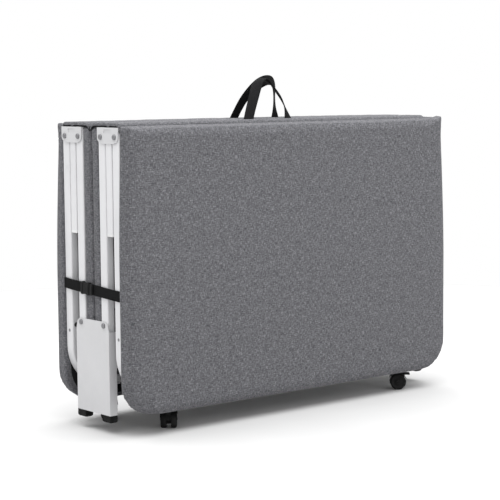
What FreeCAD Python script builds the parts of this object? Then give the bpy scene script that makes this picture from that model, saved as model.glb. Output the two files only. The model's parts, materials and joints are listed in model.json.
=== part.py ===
import FreeCAD, Part
import math
import os

# Folding cot, folded flat into an M and standing on its casters.
#
# Frame: +X along the bed's width, +Y to the rear, +Z up. The origin is on the floor under the middle.
# Four sections hang side by side. From the rear: outer, inner, then the front's inner and outer.
# The rear half is built here at +Y, and the front half is the same half turned 180 degrees about Z.
# An outer section's sleeping face looks away from the middle, and the two inner ones face each other.

V = FreeCAD.Vector
os.makedirs("parts", exist_ok=True)

# ---------------------------------------------------------------- driving dimensions, in mm
HALF_W = 400.0                 # half the bed's width, to the outside of the side tubes
TUBE_X, TUBE_Y = 16.0, 21.0    # side tube section
WALL = 1.5                     # tube wall
TUBE_R = 2.5                   # tube corner radius
BAR = 16.0                     # cross bars and end legs, square section
PLAY = 0.4                     # side play between a tube and the plate it turns against
SHEET = 2.0                    # hinge plates and centre boxes

FEET_LIFT = 20.0               # the centre feet clear the floor by this when the cot stands on casters
LEG_LENGTH = 178.0             # every leg, from its pivot to the floor it stands on
INNER_LENGTH = 341.0           # an inner section, pivot to pivot
Z_BOX = FEET_LIFT + LEG_LENGTH           # pivots in the centre boxes
Z_TOP = Z_BOX + INNER_LENGTH             # pivots in the hinge plates
Y_IN = 36.0                    # an inner section's tubes, from the middle
HINGE_SPACING = 43.0           # between the two pivots of a hinge plate
Y_OUT = Y_IN + HINGE_SPACING
Y_LEG = (Y_IN + Y_OUT) / 2

FACE = 35.0                    # from a tube's middle to the sleeping face of its pad
BOARD = 5.0                    # plywood under each pad
PAD_OVER = 19.5                # pads and boards reach this far past a hinge pivot
TUBE_OVER = 18.0               # side tubes reach this far past a pivot
Z_PAD_TOP = Z_TOP + PAD_OVER
Z_PAD_LOW = 36.0               # lower edge of the outer pads
PAD_CORNER = 67.0
TUBE_CORNER = 80.0             # outside radius of the outer frame's two bends
Z_FRAME_LOW = 67.0             # underside of the outer frame's end rail

BOLT_R = 3.0
BOLT_FIT = 0.05                # radial clearance of a tube on its pivot bolt
HEAD_R, HEAD_H = 5.0, 2.6
NUT_AF, NUT_H = 10.0, 5.0
SCREW_R, SCREW_HEAD_R, SCREW_HEAD_H = 2.0, 4.5, 2.2

BOX_HALF = 52.0                # half the width of a centre box
BOX_DEPTH = 16.5
BOX_OVER = 7.0                 # the box's face reaches this far above its pivots
BOX_STOP = 11.0                # the box's sides end this far below: an unfolded tube rests there
FOOT_X, FOOT_Y, FOOT_H = 16.5, 25.0, 14.0

PLATE_TOP, PLATE_LOW = 17.0, 12.0        # a hinge plate above and below its pivots
RECESS_Y, RECESS_Z, RECESS_DEPTH = 22.0, 6.5, 1.0
LEG_Y = 18.0                   # hinge leg, across the slot
LEG_CAP = 5.0

Z_END_PIVOT = 177.0            # end leg pivots in an outer frame
CASTER_X = {"rear": 313.0, "front": 291.0}
WHEEL_R, WHEEL_T, TRAIL = 16.5, 11.0, 9.0
WEB_T = 8.0
HOOD_R = WHEEL_R + 1.8
NECK_TOP = 39.0                # top of a caster's neck, where the fixed socket begins
CASTER_PLATE_T = 3.0
CASTER_YAW = {"rear_left": 230.0, "rear_right": 50.0, "front_left": 50.0, "front_right": -40.0}

STRAP_W, STRAP_T = 20.0, 1.6
STRAP_Z, STRAP_DROP = 261.0, 5.0         # height in the middle, and the drop from there to the front tube
BUCKLE_H, BUCKLE_T = 25.0, 7.6

WEB_W, WEB_TH = 25.0, 2.0      # handle webbing
HANDLE_HALF = 49.5             # half the spacing of a handle's two ends
HANDLE_RISE = 107.0            # along the leaning handle
HANDLE_LEAN = 31.5             # degrees towards the middle
HANDLE_SHIFT, HANDLE_SKEW = 29.0, 12.0   # a handle's middle along X, and its sideways lean in degrees
Z_HANDLE = Z_PAD_TOP + 0.5      # the webbing bends here
Z_LEG_BAR = Z_TOP - 20.0       # upper bar of a hinge leg, which the handle is looped round


# ---------------------------------------------------------------- small builders
def box(x0, x1, y0, y1, z0, z1):
    return Part.makeBox(x1 - x0, y1 - y0, z1 - z0, V(x0, y0, z0))


def rod(axis, radius, start, length):
    """Round bar from a point along +X, +Y or +Z."""
    return Part.makeCylinder(radius, length, V(*start), {"x": V(1, 0, 0), "y": V(0, 1, 0), "z": V(0, 0, 1)}[axis])


def both_ends(build):
    """The same piece at both ends of the bed: build(1) is at +X and build(-1) at -X."""
    return [build(1), build(-1)]


def span(side, near, far):
    """An X interval at one end of the bed, low value first."""
    return (near, far) if side > 0 else (-far, -near)


def edges_along(shape, axis):
    """Straight edges parallel to an axis."""
    way = {"x": V(1, 0, 0), "y": V(0, 1, 0), "z": V(0, 0, 1)}[axis]
    return [e for e in shape.Edges
            if len(e.Vertexes) == 2 and abs(abs((e.Vertexes[1].Point - e.Vertexes[0].Point).dot(way)) - e.Length) < 1e-6]


def rounded_box(axis, radius, *limits):
    block = box(*limits)
    return block.makeFillet(radius, edges_along(block, axis))


def tube(axis, x0, x1, y0, y1, z0, z1):
    """Rectangular tube with rounded corners, open at both ends."""
    low, high = [x0, y0, z0], [x1, y1, z1]
    inner_low, inner_high = [], []
    for name, a, b in zip("xyz", low, high):
        margin = -1.0 if name == axis else WALL
        inner_low.append(a + margin)
        inner_high.append(b - margin)
    outer = rounded_box(axis, TUBE_R, x0, x1, y0, y1, z0, z1)
    inner = rounded_box(axis, TUBE_R - WALL, inner_low[0], inner_high[0], inner_low[1], inner_high[1],
                        inner_low[2], inner_high[2])
    return outer.cut(inner)


def round_bar(length, y, z, radius=8.0):
    """Round tube along X, centred on the middle of the bed."""
    bar = rod("x", radius, (-length / 2, y, z), length)
    return bar.cut(rod("x", radius - WALL, (-length / 2 - 1, y, z), length + 2))


def pivot_bolt(side, y, z, sheet_out, tube_in):
    """Round-headed bolt along X with its nut inside the tube's far wall."""
    out = sheet_out
    shank = rod("x", BOLT_R, (span(side, tube_in - NUT_H - 2, out)[0], y, z), out - tube_in + NUT_H + 2)
    head = rod("x", HEAD_R, (span(side, out, out + HEAD_H)[0], y, z), HEAD_H)
    rim = [e for e in head.Edges
           if e.Curve.TypeId == "Part::GeomCircle" and abs(abs(e.Curve.Center.x) - (out + HEAD_H)) < 1e-6]
    head = head.makeFillet(HEAD_H * 0.6, rim)
    nut_low = span(side, tube_in - 0.3 - NUT_H, tube_in - 0.3)[0]
    corners = [V(nut_low, y + NUT_AF / math.sqrt(3) * math.cos(math.radians(60 * i)),
                 z + NUT_AF / math.sqrt(3) * math.sin(math.radians(60 * i))) for i in range(7)]
    nut = Part.Face(Part.makePolygon(corners)).extrude(V(NUT_H, 0, 0))
    return shank.fuse(head).fuse(nut).removeSplitter()


def bolt_hole(y, z, radius=BOLT_R + BOLT_FIT):
    """Cutter right through both ends of the bed at a pivot."""
    return rod("x", radius, (-HALF_W - 20, y, z), 2 * HALF_W + 40)


def screw(x, y_face, z, reach):
    """Screw along +Y whose head sits on the slot side of a tube."""
    head = rod("y", SCREW_HEAD_R, (x, y_face - SCREW_HEAD_H, z), SCREW_HEAD_H)
    rim = [e for e in head.Edges
           if e.Curve.TypeId == "Part::GeomCircle" and abs(e.Curve.Center.y - (y_face - SCREW_HEAD_H)) < 1e-6]
    head = head.makeFillet(SCREW_HEAD_H * 0.6, rim)
    return head.fuse(rod("y", SCREW_R, (x, y_face, z), reach)).removeSplitter()


def slab(half, z_low, z_high, corner, y0, y1):
    """Upright board or pad with its two lower corners rounded."""
    turn = corner * math.sqrt(0.5)
    left, right, low = -half, half, z_low
    edges = [
        Part.LineSegment(V(left, y0, z_high), V(right, y0, z_high)),
        Part.LineSegment(V(right, y0, z_high), V(right, y0, low + corner)),
        Part.Arc(V(right, y0, low + corner), V(right - corner + turn, y0, low + corner - turn), V(right - corner, y0, low)),
        Part.LineSegment(V(right - corner, y0, low), V(left + corner, y0, low)),
        Part.Arc(V(left + corner, y0, low), V(left + corner - turn, y0, low + corner - turn), V(left, y0, low + corner)),
        Part.LineSegment(V(left, y0, low + corner), V(left, y0, z_high)),
    ]
    return Part.Face(Part.Wire([e.toShape() for e in edges])).extrude(V(0, y1 - y0, 0))


written = {}


def write(node, shapes):
    """One STEP file for one node: a single solid, or a group of separate ones."""
    shapes = shapes if isinstance(shapes, list) else [shapes]
    shape = shapes[0] if len(shapes) == 1 else Part.makeCompound(shapes)
    if not shape.isValid():
        print("not valid:", node)
    shape.exportStep(os.path.join("parts", node + ".step"))
    written[node] = shape


def placed(half, shapes):
    """Turns rear pieces into front ones."""
    turned = []
    for shape in shapes if isinstance(shapes, list) else [shapes]:
        shape = shape.copy()
        if half == "front":
            shape.rotate(V(0, 0, 0), V(0, 0, 1), 180)
        turned.append(shape)
    return turned


# ---------------------------------------------------------------- centre leg
def centre_box(side):
    """Folded steel channel: face outwards, a flange on each side, and a bottom that holds the feet."""
    out, low = HALF_W + PLAY + SHEET, FEET_LIFT + FOOT_H
    top = Z_BOX + BOX_OVER
    cut = 12.0
    outline = [V(0, -BOX_HALF, low), V(0, BOX_HALF, low), V(0, BOX_HALF, Z_BOX - BOX_STOP),
               V(0, BOX_HALF - cut * 0.35, top - cut * 0.35), V(0, BOX_HALF - cut, top),
               V(0, -BOX_HALF + cut, top), V(0, -BOX_HALF + cut * 0.35, top - cut * 0.35),
               V(0, -BOX_HALF, Z_BOX - BOX_STOP), V(0, -BOX_HALF, low)]
    face = Part.Face(Part.makePolygon(outline)).extrude(V(SHEET, 0, 0))
    face.translate(V(span(side, out - SHEET, out)[0], 0, 0))
    x0, x1 = span(side, out - BOX_DEPTH, out)
    flanges = [box(x0, x1, y, y + SHEET, low, Z_BOX - BOX_STOP) for y in (-BOX_HALF, BOX_HALF - SHEET)]
    bottom = box(x0, x1, -BOX_HALF, BOX_HALF, low, low + SHEET)
    body = face.fuse(flanges).fuse(bottom).removeSplitter()
    for y in (Y_IN, -Y_IN):
        body = body.cut(bolt_hole(y, Z_BOX, BOLT_R + 0.1))
    for y in (BOX_HALF - FOOT_Y / 2, FOOT_Y / 2 - BOX_HALF):
        body = body.cut(rod("z", 4.1, ((x0 + x1) / 2, y, low - 1), SHEET + 2))
    return body


def centre_foot(side, y):
    """Rubber foot with a domed underside and a push-in stem."""
    out = HALF_W + PLAY + SHEET
    x0, x1 = span(side, out - FOOT_X, out)
    block = box(x0, x1, y - FOOT_Y / 2, y + FOOT_Y / 2, FEET_LIFT, FEET_LIFT + FOOT_H)
    under = [e for e in block.Edges if all(abs(v.Z - FEET_LIFT) < 1e-6 for v in e.Vertexes)]
    block = block.makeFillet(4.5, under)
    stem = rod("z", 4.0, ((x0 + x1) / 2, y, FEET_LIFT + FOOT_H), 9.0)
    barb = rod("z", 5.0, ((x0 + x1) / 2, y, FEET_LIFT + FOOT_H + SHEET + 0.3), 3.0)
    return block.fuse([stem, barb]).removeSplitter()


def build_centre():
    write("centre_box_left", centre_box(-1))
    write("centre_box_right", centre_box(1))
    write("centre_cross_tube", round_bar(2 * (HALF_W + PLAY), 0.0, FEET_LIFT + 100.0, 10.0))
    foot_y = BOX_HALF - FOOT_Y / 2
    write("centre_feet", [centre_foot(side, y) for side in (1, -1) for y in (foot_y, -foot_y)])
    out = HALF_W + PLAY + SHEET
    write("centre_pivot_bolts", [pivot_bolt(side, y, Z_BOX, out, HALF_W - TUBE_X)
                                 for side in (1, -1) for y in (Y_IN, -Y_IN)])


# ---------------------------------------------------------------- inner section
INNER_BARS = (Z_BOX + 38.0, Z_BOX + 170.0, Z_TOP - 45.0)


def inner_side_tube(side):
    x0, x1 = span(side, HALF_W - TUBE_X, HALF_W)
    body = tube("z", x0, x1, Y_IN - TUBE_Y / 2, Y_IN + TUBE_Y / 2, Z_BOX - TUBE_OVER, Z_TOP + TUBE_OVER)
    return body.cut([bolt_hole(Y_IN, Z_BOX), bolt_hole(Y_IN, Z_TOP)])


def inner_bar(z):
    """Cross bar flush with the board's side of the frame."""
    y0 = Y_IN - TUBE_Y / 2
    half = HALF_W - TUBE_X
    return tube("x", -half, half, y0, y0 + BAR, z - BAR / 2, z + BAR / 2)


def inner_pad():
    """Its lower end is rounded about the box pivot, so that the two inner pads turn clear of each other."""
    y_face, y_back = Y_IN - FACE, Y_IN - TUBE_Y / 2 - BOARD
    back = math.pi + math.asin(math.sqrt(FACE ** 2 - (Y_IN - y_back) ** 2) / FACE)
    middle = (math.pi + back) / 2
    z_back = Z_BOX + FACE * math.sin(back)
    x = -HALF_W
    edges = [
        Part.LineSegment(V(x, y_face, Z_PAD_TOP), V(x, y_back, Z_PAD_TOP)),
        Part.LineSegment(V(x, y_back, Z_PAD_TOP), V(x, y_back, z_back)),
        Part.Arc(V(x, y_back, z_back), V(x, Y_IN + FACE * math.cos(middle), Z_BOX + FACE * math.sin(middle)),
                 V(x, y_face, Z_BOX)),
        Part.LineSegment(V(x, y_face, Z_BOX), V(x, y_face, Z_PAD_TOP)),
    ]
    return Part.Face(Part.Wire([e.toShape() for e in edges])).extrude(V(2 * HALF_W, 0, 0))


def inner_board():
    y1 = Y_IN - TUBE_Y / 2
    low = Z_BOX - math.sqrt(FACE ** 2 - (Y_IN - y1 + BOARD) ** 2)
    return box(-HALF_W + 4, HALF_W - 4, y1 - BOARD, y1, low + 0.5, Z_PAD_TOP - 3)


def build_inner(half):
    write(half + "_inner_side_tubes", placed(half, both_ends(inner_side_tube)))
    write(half + "_inner_cross_bars", placed(half, [inner_bar(z) for z in INNER_BARS]))
    write(half + "_inner_board", placed(half, inner_board()))
    write(half + "_inner_pad", placed(half, inner_pad()))


# ---------------------------------------------------------------- hinge leg
def hinge_plate(side):
    """Plate with a lobe round each pivot and a small pressed recess between the tube ends."""
    lobe = TUBE_Y / 2
    x0 = span(side, HALF_W + PLAY, HALF_W + PLAY + SHEET)[0]
    body = box(x0, x0 + SHEET, Y_IN - lobe, Y_OUT + lobe, Z_TOP, Z_TOP + PLATE_TOP)
    body = body.fuse(box(x0, x0 + SHEET, Y_IN, Y_OUT, Z_TOP - PLATE_LOW, Z_TOP))
    body = body.fuse([rod("x", lobe, (x0, y, Z_TOP), SHEET) for y in (Y_IN, Y_OUT)]).removeSplitter()
    out = HALF_W + PLAY + SHEET
    recess = box(*span(side, out - RECESS_DEPTH, out + 1), Y_LEG - RECESS_Y / 2, Y_LEG + RECESS_Y / 2,
                 Z_TOP + PLATE_TOP - 3.5 - RECESS_Z, Z_TOP + PLATE_TOP - 3.5)
    return body.cut([recess] + [bolt_hole(y, Z_TOP, BOLT_R + 0.1) for y in (Y_IN, Y_OUT)])


def leg_tube(side):
    x0, x1 = span(side, HALF_W + PLAY - TUBE_X, HALF_W + PLAY)
    return tube("z", x0, x1, Y_LEG - LEG_Y / 2, Y_LEG + LEG_Y / 2, Z_TOP - LEG_LENGTH + LEG_CAP, Z_TOP - BOX_STOP)


def leg_cap(side, x_far, y, width_y, z_foot, up):
    """Plug foot: a plate under the tube and a plug inside it. up is +1 where the tube stands above the foot."""
    x0, x1 = span(side, x_far - TUBE_X, x_far)
    z0, z1 = sorted((z_foot, z_foot + up * LEG_CAP))
    plate = rounded_box("z", TUBE_R, x0, x1, y - width_y / 2, y + width_y / 2, z0, z1)
    m = WALL + 0.35
    z2, z3 = sorted((z_foot + up * LEG_CAP, z_foot + up * (LEG_CAP + 12)))
    return plate.fuse(box(x0 + m, x1 - m, y - width_y / 2 + m, y + width_y / 2 - m, z2, z3)).removeSplitter()


def handle_anchor(x):
    """Lower end of the handle's webbing: a turn round the upper bar and the ply that rises to the pads' top."""
    start = (x - WEB_W / 2, Y_LEG, Z_LEG_BAR)
    turn = rod("x", 8.2 + WEB_TH, start, WEB_W)
    rise = box(x - WEB_W / 2, x + WEB_W / 2, Y_LEG - WEB_TH / 2, Y_LEG + WEB_TH / 2, Z_LEG_BAR + 8.5, Z_PAD_TOP - 1)
    return turn.fuse(rise).cut(rod("x", 8.2, (start[0] - 1, Y_LEG, Z_LEG_BAR), WEB_W + 2)).removeSplitter()


def handle():
    """Leaning webbing loop: two straight legs that run into a round top, and swing about their lower edges."""
    top_r = 20.0
    mid_r = top_r + WEB_W / 2 - 2.5
    centre = HANDLE_RISE - mid_r
    lean = math.atan2(HANDLE_HALF, centre) - math.asin(top_r / math.hypot(HANDLE_HALF, centre))
    below = 30.0

    def outline(offset):
        r = top_r + offset
        foot = HANDLE_HALF + offset / math.cos(lean) + below * math.tan(lean)
        tx, tz = r * math.cos(lean), centre + r * math.sin(lean)
        edges = [Part.LineSegment(V(-foot, 0, -below), V(-tx, 0, tz)),
                 Part.Arc(V(-tx, 0, tz), V(0, 0, centre + r), V(tx, 0, tz)),
                 Part.LineSegment(V(tx, 0, tz), V(foot, 0, -below)),
                 Part.LineSegment(V(foot, 0, -below), V(-foot, 0, -below))]
        return Part.Face(Part.Wire([e.toShape() for e in edges]))

    loop = outline(10.0).cut(outline(-10.0)).extrude(V(0, WEB_TH, 0))
    loop.translate(V(0, -WEB_TH / 2, 0))
    loop.rotate(V(0, 0, 0), V(0, 1, 0), -HANDLE_SKEW)
    loop = loop.cut(box(-200, 200, -20, 20, -100, 0))
    ends = [f.BoundBox for f in loop.Faces if f.BoundBox.ZMax < 1e-6]
    loop = loop.fuse([rod("x", WEB_TH / 2, (b.XMin, 0, 0), b.XLength) for b in ends]).removeSplitter()
    loop.rotate(V(0, 0, 0), V(1, 0, 0), HANDLE_LEAN)
    loop.translate(V(HANDLE_SHIFT, Y_LEG, Z_HANDLE))
    return loop.Solids[0]


def build_leg(half):
    write(half + "_hinge_plates", placed(half, both_ends(hinge_plate)))
    write(half + "_leg_tubes", placed(half, both_ends(leg_tube)))
    bar_length = 2 * (HALF_W + PLAY - TUBE_X)
    write(half + "_leg_cross_bars", placed(half, [round_bar(bar_length, Y_LEG, z)
                                                  for z in (Z_LEG_BAR, Z_TOP - LEG_LENGTH + 25.0)]))
    caps = [leg_cap(side, HALF_W + PLAY, Y_LEG, LEG_Y, Z_TOP - LEG_LENGTH, 1) for side in (1, -1)]
    write(half + "_leg_feet", placed(half, caps))
    out = HALF_W + PLAY + SHEET
    bolts = [pivot_bolt(side, y, Z_TOP, out, HALF_W - TUBE_X) for side in (1, -1) for y in (Y_IN, Y_OUT)]
    write(half + "_hinge_bolts", placed(half, bolts))
    anchors = [handle_anchor(HANDLE_SHIFT + side * HANDLE_HALF) for side in (1, -1)]
    write(half + "_handle_anchors", placed(half, anchors))
    write(half + "_handle", placed(half, handle()))


# ---------------------------------------------------------------- outer section
OUTER_BARS = (158.0, 378.0, Z_TOP - 45.0)
Z_SIDE_SCREW = 188.0
Y_OUT_FACE = Y_OUT + TUBE_Y / 2          # where the board lies on the frame
BAR_SCREWS = [(x, z) for z in OUTER_BARS[1:] for x in (-200.0, 200.0)]
SIDE_SCREWS = [(side * (HALF_W - TUBE_X / 2), Z_SIDE_SCREW) for side in (1, -1)]


def tube_profile(x, z):
    """Hollow side tube section in a level plane, as a face."""
    outer = rounded_box("z", TUBE_R, x - TUBE_X / 2, x + TUBE_X / 2, Y_OUT - TUBE_Y / 2, Y_OUT + TUBE_Y / 2, z, z + 1)
    inner = rounded_box("z", TUBE_R - WALL, x - TUBE_X / 2 + WALL, x + TUBE_X / 2 - WALL,
                        Y_OUT - TUBE_Y / 2 + WALL, Y_OUT + TUBE_Y / 2 - WALL, z - 1, z + 2)
    ring = outer.cut(inner)
    return [f for f in ring.Faces if abs(f.CenterOfMass.z - z) < 1e-6][0]


def outer_frame(half):
    """One tube bent into a U, its open end at the hinge plates, with a hole under each caster's stem."""
    bend_z = Z_FRAME_LOW + TUBE_CORNER
    bend_x = HALF_W - TUBE_CORNER
    pieces = []
    for side in (1, -1):
        profile = tube_profile(side * (HALF_W - TUBE_X / 2), bend_z)
        pieces.append(profile.extrude(V(0, 0, Z_TOP + TUBE_OVER - bend_z)))
        pieces.append(profile.revolve(V(side * bend_x, Y_OUT, bend_z), V(0, side, 0), 90))
    rail = tube_profile(HALF_W - TUBE_X / 2, bend_z)
    rail.rotate(V(bend_x, Y_OUT, bend_z), V(0, 1, 0), 90)
    pieces.append(rail.extrude(V(-2 * bend_x, 0, 0)))
    body = pieces[0].fuse(pieces[1:]).removeSplitter()
    cutters = [bolt_hole(Y_OUT, Z_TOP), bolt_hole(Y_OUT, Z_END_PIVOT, BOLT_R + 0.1)]
    cutters += [rod("y", SCREW_R + 0.1, (x, Y_OUT - 20, z), 40) for x, z in SIDE_SCREWS]
    cutters += [rod("z", 4.1, (x, Y_OUT, Z_FRAME_LOW - 1), WALL + 2) for x in (CASTER_X[half], -CASTER_X[half])]
    return body.cut(cutters)


def outer_bar(z):
    half = HALF_W - TUBE_X
    bar = tube("x", -half, half, Y_OUT_FACE - BAR, Y_OUT_FACE, z - BAR / 2, z + BAR / 2)
    return bar.cut([rod("y", SCREW_R + 0.1, (x, Y_OUT - 20, z), 40) for x, zs in BAR_SCREWS if zs == z])


def outer_board():
    board = slab(HALF_W - 4, Z_PAD_LOW + 4, Z_PAD_TOP - 3, PAD_CORNER - 4, Y_OUT_FACE, Y_OUT_FACE + BOARD)
    return board.cut([rod("y", SCREW_R + 0.05, (x, Y_OUT_FACE - 1, z), 4) for x, z in BAR_SCREWS + SIDE_SCREWS])


def outer_screws():
    side_screws = [screw(x, Y_OUT - TUBE_Y / 2, z, TUBE_Y + 2.5) for x, z in SIDE_SCREWS]
    return side_screws + [screw(x, Y_OUT_FACE - BAR, z, BAR + 2.5) for x, z in BAR_SCREWS]


def outer_pad():
    return slab(HALF_W, Z_PAD_LOW, Z_PAD_TOP, PAD_CORNER, Y_OUT_FACE + BOARD, Y_OUT + FACE)


def caster_socket(x):
    """Plate under the end rail with a tapered socket for a caster's stem."""
    plate_z = Z_FRAME_LOW - CASTER_PLATE_T
    low = NECK_TOP + 0.5
    plate = rounded_box("z", 4.0, x - 20, x + 20, Y_OUT - TUBE_Y / 2, Y_OUT_FACE, plate_z, Z_FRAME_LOW)
    socket = Part.makeCone(8.0, 10.0, plate_z - low, V(x, Y_OUT, low))
    return plate.fuse(socket).removeSplitter().cut(rod("z", 4.05, (x, Y_OUT, low - 1), 40))


def build_outer(half):
    write(half + "_outer_frame", placed(half, outer_frame(half)))
    write(half + "_outer_cross_bars", placed(half, [outer_bar(z) for z in OUTER_BARS]))
    write(half + "_outer_board", placed(half, outer_board()))
    write(half + "_outer_board_screws", placed(half, outer_screws()))
    write(half + "_outer_pad", placed(half, outer_pad()))
    write(half + "_caster_sockets", placed(half, both_ends(lambda side: caster_socket(side * CASTER_X[half]))))


# ---------------------------------------------------------------- end leg, folded into the outer frame
END_X = HALF_W - TUBE_X - 2.0            # outside of the end leg's arms


def end_arm(side):
    x0, x1 = span(side, END_X - BAR, END_X)
    body = box(x0, x1, Y_OUT - BAR / 2, Y_OUT + BAR / 2, Z_END_PIVOT, Z_END_PIVOT + LEG_LENGTH - LEG_CAP)
    body = body.fuse(rod("x", BAR / 2, (x0, Y_OUT, Z_END_PIVOT), BAR)).removeSplitter()
    hollow = box(x0 + WALL, x1 - WALL, Y_OUT - BAR / 2 + WALL, Y_OUT + BAR / 2 - WALL,
                 Z_END_PIVOT + 10, Z_END_PIVOT + LEG_LENGTH)
    return body.cut([hollow, bolt_hole(Y_OUT, Z_END_PIVOT)])


def end_pivot_bolt(side):
    """Stud welded flush into the side tube, with a collar that holds the arm on it."""
    tip, flush = END_X - BAR - 1.5, HALF_W - 0.2
    shank = rod("x", BOLT_R, (span(side, tip, flush)[0], Y_OUT, Z_END_PIVOT), flush - tip)
    collar = rod("x", 5.0, (span(side, tip - 3, tip)[0], Y_OUT, Z_END_PIVOT), 3.0)
    return shank.fuse(collar).removeSplitter()


def build_end_leg(half):
    write(half + "_end_leg_arms", placed(half, both_ends(end_arm)))
    bar_length = 2 * (END_X - BAR)
    write(half + "_end_leg_bar", placed(half, round_bar(bar_length, Y_OUT, Z_END_PIVOT + LEG_LENGTH - 20.0, 7.0)))
    z_foot = Z_END_PIVOT + LEG_LENGTH
    caps = [leg_cap(side, END_X, Y_OUT, BAR, z_foot, -1) for side in (1, -1)]
    write(half + "_end_leg_feet", placed(half, caps))
    write(half + "_end_leg_bolts", placed(half, both_ends(end_pivot_bolt)))


# ---------------------------------------------------------------- casters
def caster_fork(has_brake):
    """Twin-wheel caster body: web, hood, swivel stem and axle. The swivel is the local Z axis."""
    half_w = WEB_T / 2 + 0.5 + WHEEL_T
    web = rod("y", 9.0, (TRAIL, -WEB_T / 2, WHEEL_R), WEB_T)
    web = web.fuse(box(-6, TRAIL + 8, -WEB_T / 2, WEB_T / 2, WHEEL_R, WHEEL_R + HOOD_R - 1))
    hood = rod("y", HOOD_R, (TRAIL, -half_w, WHEEL_R), 2 * half_w)
    hood = hood.cut(rod("y", WHEEL_R + 0.8, (TRAIL, -half_w - 1, WHEEL_R), 2 * half_w + 2))
    hood = hood.cut(box(-50, 60, -30, 30, -30, WHEEL_R + 6.0))
    neck_low = 2 * WHEEL_R + 0.9
    stem = [rod("z", 8.0, (0, 0, neck_low), NECK_TOP - neck_low),
            rod("z", 4.0, (0, 0, NECK_TOP - 1), Z_FRAME_LOW + 6.0 - NECK_TOP),
            rod("z", 6.5, (0, 0, Z_FRAME_LOW + WALL + 0.4), 2.0)]
    axle = rod("y", 2.5, (TRAIL, -half_w - 0.5, WHEEL_R), 2 * half_w + 1)
    pieces = [hood, axle] + stem
    if has_brake:
        lever = box(TRAIL + 9, TRAIL + HOOD_R + 6, -8, 8, 2 * WHEEL_R - 2.6, 2 * WHEEL_R + 0.2)
        pieces.append(lever.cut(rod("y", WHEEL_R + 0.8, (TRAIL, -half_w - 1, WHEEL_R), 2 * half_w + 2)))
    return web.fuse(pieces).removeSplitter()


def caster_wheels():
    pair = []
    for side in (1, -1):
        y0 = span(side, WEB_T / 2 + 0.5, WEB_T / 2 + 0.5 + WHEEL_T)[0]
        disc = rod("y", WHEEL_R, (TRAIL, y0, WHEEL_R), WHEEL_T)
        rims = [e for e in disc.Edges if e.Curve.TypeId == "Part::GeomCircle"]
        pair.append(disc.makeFillet(1.5, rims).cut(rod("y", 2.55, (TRAIL, y0 - 1, WHEEL_R), WHEEL_T + 2)))
    return pair


def build_casters():
    for corner, yaw in CASTER_YAW.items():
        half, end = corner.split("_")
        x = CASTER_X[half] if end == "right" else -CASTER_X[half]
        y = Y_OUT if half == "rear" else -Y_OUT
        for node, shapes in (("fork", [caster_fork(half == "front")]), ("wheels", caster_wheels())):
            for shape in shapes:
                shape.rotate(V(0, 0, 0), V(0, 0, 1), yaw)
                shape.translate(V(x, y, 0))
            write("caster_" + node + "_" + corner, shapes)


# ---------------------------------------------------------------- closing strap across the left end
def on_strap_line(shape):
    """The strap runs down towards the front."""
    shape.rotate(V(0, 0, STRAP_Z), V(1, 0, 0), math.degrees(math.atan2(STRAP_DROP, Y_OUT)))
    return shape


def webbing_strip(y0, y1, y_rivet):
    x_out = HALF_W + PLAY + STRAP_T
    strip = box(-x_out, -HALF_W - PLAY, y0, y1, STRAP_Z - STRAP_W / 2, STRAP_Z + STRAP_W / 2)
    rivet = rod("x", 4.0, (-x_out - 1.2, y_rivet, STRAP_Z), 1.2)
    shank = rod("x", 2.0, (-x_out, y_rivet, STRAP_Z), STRAP_T + PLAY)
    return on_strap_line(strip.fuse([rivet, shank]).removeSplitter())


def buckle(y0, y1, height):
    block = box(-HALF_W - PLAY - BUCKLE_T, -HALF_W - PLAY, y0, y1, STRAP_Z - height / 2, STRAP_Z + height / 2)
    front = [e for e in block.Edges if all(v.X < -HALF_W - PLAY - BUCKLE_T + 1e-6 for v in e.Vertexes)]
    return on_strap_line(block.makeFillet(2.0, front))


def build_strap():
    tube_edge = Y_OUT + TUBE_Y / 2 - 0.5
    socket, tongue = (3.8, 29.0), (-6.0, 3.2)
    write("rear_strap", webbing_strip(socket[1], tube_edge, Y_OUT))
    write("strap_buckle_socket", buckle(*socket, BUCKLE_H))
    write("front_strap", webbing_strip(-tube_edge, tongue[0], -Y_OUT))
    write("strap_buckle_tongue", buckle(*tongue, BUCKLE_H - 3))


build_centre()
for half_name in ("rear", "front"):
    build_inner(half_name)
    build_leg(half_name)
    build_outer(half_name)
    build_end_leg(half_name)
build_casters()
build_strap()

whole = Part.makeCompound(list(written.values())).BoundBox
print(len(written), "nodes; X", round(whole.XMin, 1), round(whole.XMax, 1), "Y", round(whole.YMin, 1),
      round(whole.YMax, 1), "Z", round(whole.ZMin, 1), round(whole.ZMax, 1))
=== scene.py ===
import json
import math

import bpy
import bmesh
from mathutils import Matrix, Vector, noise


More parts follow.
